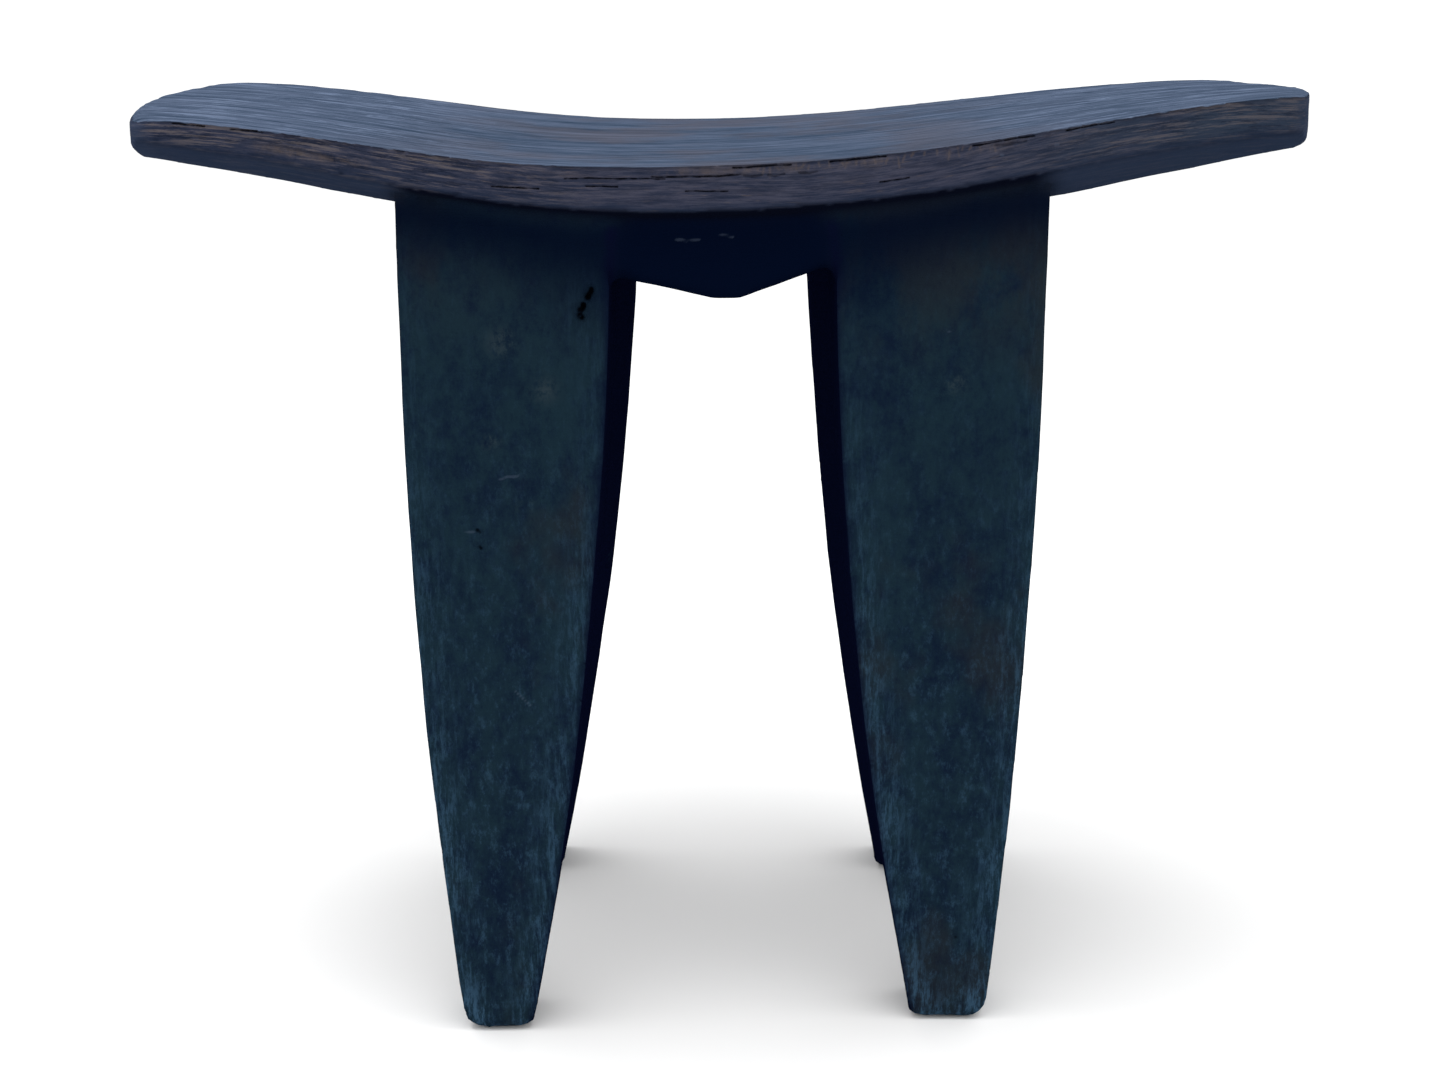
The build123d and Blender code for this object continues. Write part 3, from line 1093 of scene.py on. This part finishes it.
def rim_colour(tree, parts, patches):
    across = parts.outputs["X"]
    place = along_the_edge(tree, parts)
    grain = pattern(tree, place, (52, 80, 900), 6, 0.75, (0, 3, 1))
    colour = blend(tree, between(tree, grain, 0.36, 0.64), RIM_DARK, RIM_UMBER)
    right_end = between(tree, across, 80 * MM, 190 * MM)
    teal = times(tree, right_end, between(tree, patches, 0.35, 0.55), 0.60)
    colour = blend(tree, teal, colour, RIM_TEAL)

    to_the_left = times(tree, between(tree, across, -30 * MM, -120 * MM), 0.45)
    near_an_end = plus(tree, to_the_left, times(tree, right_end, 0.28))
    blots = pattern(tree, place, (52, 60, 420), 9, 0.85, (7, 0, 2))
    stained = times(tree, between(tree, blots, 0.48, 0.57), plus(tree, near_an_end, 0.32))
    colour = blend(tree, stained, colour, RIM_BLACK)
    rubbed_back = times(tree, between(tree, grain, 0.50, 0.60), near_an_end, 1.4)
    colour = blend(tree, rubbed_back, colour, RIM_BROWN)

    fibres = pattern(tree, place, (90, 200, 1100), 3, 0.6, (4, 4, 0))
    colour = blend(tree, times(tree, between(tree, fibres, 0.58, 0.72), 0.30), colour, RIM_TAN)
    chips = times(tree, stored_mask(tree, "ridge"), between(tree, blots, 0.42, 0.55), 0.30)
    colour = blend(tree, chips, colour, RIM_TAN)
    # painted shade: the rim's lower margin, where it turns under, is painted darker
    margin = times(tree, between(tree, stored_mask(tree, "low_rim"), 0.04, 0.45), 0.6)
    colour = blend(tree, margin, colour, RIM_UNDER_SHADE)
    # painted light: the faces of both ends are painted bluer
    from_middle = math_node(tree, "ABSOLUTE", across)
    end_face = between(tree, from_middle, seat_high.x - 31 * MM, seat_high.x - 19 * MM)
    return blend(tree, times(tree, end_face, 0.75), colour, RIM_END_LIGHT)

# %% [markdown]
# The top. Years of sitting have left it grey-blue with streaks along the grain, a little
# browner in the middle, and a painted sheen makes its grey-blue lighter, since the finish
# has no gloss. Dust sits in the pores near both ends, and water has dried there in pale
# tide marks. A tide mark is the line where a slow noise crosses its middle value.

# %% The colour of the top
def top_colour_and_sheen(tree, place, from_middle, patches):
    streaks = pattern(tree, place, (7, 95, 60), 6, 0.7, (1, 0, 4))
    grain = pattern(tree, place, (14, 380, 60), 5, 0.7, (6, 0, 2))
    fine = pattern(tree, place, (60, 700, 200), 4, 0.75, (2, 2, 0))
    tone = plus(tree, times(tree, streaks, 0.30), times(tree, grain, 0.35), times(tree, fine, 0.35))
    # painted sheen: both tones of the top are lighter than its dust and wear alone
    colour = blend(tree, between(tree, tone, 0.38, 0.62), TOP_SLATE_AND_SHEEN, TOP_BLUE_AND_SHEEN)
    in_middle = between(tree, from_middle, 170 * MM, 50 * MM)
    browned = times(tree, between(tree, patches, 0.42, 0.62), in_middle, 0.38)
    colour = blend(tree, browned, colour, TOP_BROWN)

    ends = between(tree, from_middle, 70 * MM, 150 * MM)
    dust = pattern(tree, place, (26, 150, 60), 7, 0.75, (5, 2, 0))
    colour = blend(tree, times(tree, between(tree, dust, 0.50, 0.66), ends, 0.45), colour, TOP_PALE)
    tide = pattern(tree, place, (9, 62, 40), 5, 0.6, (9, 1, 0))
    edge_of_tide = math_node(tree, "ABSOLUTE", math_node(tree, "SUBTRACT", tide, 0.5))
    tide_mark = times(tree, between(tree, edge_of_tide, 0.022, 0.004), ends,
                      between(tree, dust, 0.38, 0.56), 0.50)
    return blend(tree, tide_mark, colour, TOP_PALE)

# %% [markdown]
# The whole block. The surfaces are laid over each other from the belly upwards, each
# through its own mask, and the marks come last, since they cut through everything. Where
# the seat runs out past the legs, light from the floor reaches its bevel, and the bevel
# is painted bluer and lighter there as painted light; above the legs the underside keeps
# its painted shade. The height gives grain and pores that are finer than the skin's faces.

# %% One pattern for the block
OVERHANG_STARTS = 118 * MM    # the seat runs out past the legs from here
OVERHANG_FULL = 134 * MM
MARK_DARKNESS = {"gouges": 0.40, "knots": 0.95, "pits": 0.80, "cracks": 0.75}


def marked(tree, colour, mottle):
    """The colour with nicks, rubbed bands, scratches, cracks and holes laid over it."""
    colour = blend(tree, times(tree, stored_mask(tree, "nicks"), 0.28), colour, RIM_TAN)
    rubbed = times(tree, stored_mask(tree, "rubbed"), between(tree, mottle, 0.40, 0.60), 0.26)
    colour = blend(tree, rubbed, colour, RIM_TAN)
    strength = plus(tree, times(tree, stored_mask(tree, "on_top"), 0.45), 0.09)
    pale_lines = times(tree, between(tree, stored_mask(tree, "scratches"), 0.2, 0.8), strength)
    colour = blend(tree, pale_lines, colour, TOP_PALE)
    for mark, darkness in MARK_DARKNESS.items():
        depth = between(tree, stored_mask(tree, mark), 0.35, 0.95)
        colour = blend(tree, times(tree, depth, darkness), colour, CRACK_BLACK)
    return colour


def dyed_wood_pattern():
    tree = bpy.data.node_groups.new("dyed wood", "ShaderNodeTree")
    for name, kind in (("Colour", "Color"), ("Roughness", "Float"), ("Height", "Float")):
        tree.interface.new_socket(name, in_out="OUTPUT", socket_type="NodeSocket" + kind)
    last = tree.nodes.new("NodeGroupOutput")
    place = tree.nodes.new("ShaderNodeTexCoord").outputs["Object"]
    parts = add(tree, "ShaderNodeSeparateXYZ", {0: place})
    from_middle = math_node(tree, "ABSOLUTE", parts.outputs["X"])
    mottle = pattern(tree, place, (80, 80, 60), 9, 0.82)
    patches = pattern(tree, place, (14, 14, 10), 4, 0.6, (3, 1, 2))

    # the underside and the belly are painted near-black as painted shade under the seat
    colour = blend(tree, stored_mask(tree, "on_belly"), UNDER_SHADE_NAVY, PAINTED_SHADE_BLACK)
    legs = leg_colour(tree, place, parts, mottle, patches)
    colour = blend(tree, stored_mask(tree, "on_legs"), colour, legs)
    # painted shade under the seat, on the tops of the legs and the belly
    colour = blend(tree, times(tree, stored_mask(tree, "in_shade"), 0.92), colour, PAINTED_SHADE_BLACK)
    # painted shade on the faces that turn inwards, such as the inner sides of the legs
    colour = blend(tree, stored_mask(tree, "sheltered"), colour, DEEP_DYE_AND_SHADE)
    # painted light: past the legs the seat's bevel is painted lighter and bluer
    past_legs = between(tree, from_middle, OVERHANG_STARTS, OVERHANG_FULL)
    floor_lit_bevel = times(tree, stored_mask(tree, "on_under"), past_legs)
    colour = blend(tree, floor_lit_bevel, colour, BEVEL_LIT_BLUE)
    rim_share = plus(tree, stored_mask(tree, "on_rim"), times(tree, floor_lit_bevel, 0.35))
    colour = blend(tree, rim_share, colour, rim_colour(tree, parts, patches))
    nibbled = plus(tree, stored_mask(tree, "on_top"), times(tree, mottle, 0.5))
    top = top_colour_and_sheen(tree, place, from_middle, patches)
    colour = blend(tree, between(tree, nibbled, 0.65, 0.85), colour, top)
    tree.links.new(marked(tree, colour, mottle), last.inputs["Colour"])

    roughness = plus(tree, times(tree, mottle, 0.25), 0.50)
    tree.links.new(roughness, last.inputs["Roughness"])
    grain = pattern(tree, place, (16, 210, 210), 5, 0.6)
    pores = pattern(tree, place, (90, 1000, 1000), 3, 0.65)
    height = plus(tree, times(tree, grain, 0.5), times(tree, pores, 0.3), times(tree, mottle, 0.6))
    tree.links.new(height, last.inputs["Height"])
    return tree


wood_pattern = dyed_wood_pattern()
print("the pattern has", len(wood_pattern.nodes), "nodes")

# %% [markdown]
# Three finishes from the one pattern. The dye is dry and quite matt, so none of them has
# a gloss. The seat has the deepest grain, because its softer wood has worn away between
# the harder lines. Each piece then takes the place of its CAD region.

# %% Finishes on the six pieces
NO_GLOSS = 0.0
GRAIN_DEPTH = {"seat_wood": 0.9 * MM, "belly_wood": 0.6 * MM, "leg_wood": 0.8 * MM}


def dyed_wood(name, grain_depth):
    """A material of dyed wood with its own depth of grain."""
    material = bpy.data.materials.new(name)
    material.use_nodes = True
    tree = material.node_tree
    shader = tree.nodes["Principled BSDF"]
    look = add(tree, "ShaderNodeGroup", node_tree=wood_pattern)
    bump = add(tree, "ShaderNodeBump",
               {"Height": look.outputs["Height"], "Distance": grain_depth, "Strength": 1.0})
    tree.links.new(look.outputs["Colour"], shader.inputs["Base Color"])
    tree.links.new(look.outputs["Roughness"], shader.inputs["Roughness"])
    tree.links.new(bump.outputs[0], shader.inputs["Normal"])
    shader.inputs["Specular IOR Level"].default_value = NO_GLOSS
    return material


finishes = {name: dyed_wood(name, depth) for name, depth in GRAIN_DEPTH.items()}
slot_of = {entry["node"]: entry["material_slot"] for entry in frame["record"]["subparts"]}
for name, piece in pieces.items():
    piece.data.materials.clear()
    piece.data.materials.append(finishes[slot_of[name]])
    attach(piece, "root")
    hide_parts(name)
print("finishes:", sorted(finishes))

# %% [markdown]
# The studio: a pale floor that runs out of sight, an even white surround and one large
# soft light overhead and a little in front. The top of the seat catches that light and
# the belly is left in the seat's own shadow.

# %% Floor and lights
FLOOR_SIZE = 12.0
WHITE_ROOM = 1.15             # strength of the even surround
OVERHEAD_POWER = 26.0         # watts

floor_mesh = bpy.data.meshes.new("floor")
half = FLOOR_SIZE / 2
floor_mesh.from_pydata([(-half, -half, 0), (half, -half, 0), (half, half, 0), (-half, half, 0)],
                       [], [(0, 1, 2, 3)])
floor = bpy.data.objects.new("floor", floor_mesh)
bpy.context.scene.collection.objects.link(floor)
floor_paint = bpy.data.materials.new("floor_paint")
floor_paint.use_nodes = True
floor_shader = floor_paint.node_tree.nodes["Principled BSDF"]
floor_shader.inputs["Base Color"].default_value = (0.90, 0.90, 0.90, 1)
floor_shader.inputs["Roughness"].default_value = 0.9
floor_shader.inputs["Specular IOR Level"].default_value = 0.1
floor_mesh.materials.append(floor_paint)


def soft_light(name, size, power, place, aim):
    data = bpy.data.lights.new(name, "AREA")
    data.shape = "RECTANGLE"
    data.size, data.size_y = size
    data.energy = power
    lamp = bpy.data.objects.new(name, data)
    lamp.location = place
    lamp.rotation_euler = (Vector(aim) - Vector(place)).to_track_quat("-Z", "Y").to_euler()
    bpy.context.scene.collection.objects.link(lamp)


seat_middle = (0, 0, seat_high.z)
soft_light("overhead", (1.8, 1.2), OVERHEAD_POWER, (-0.2, -0.2, 1.9), seat_middle)
world = bpy.data.worlds.new("white_room")
world.use_nodes = True
surround = world.node_tree.nodes["Background"]
surround.inputs["Color"].default_value = (1.0, 1.0, 1.0, 1)
surround.inputs["Strength"].default_value = WHITE_ROOM
bpy.context.scene.world = world
bpy.context.scene.view_settings.view_transform = "Standard"
print("floor", FLOOR_SIZE, "m wide, overhead light", OVERHEAD_POWER, "W")
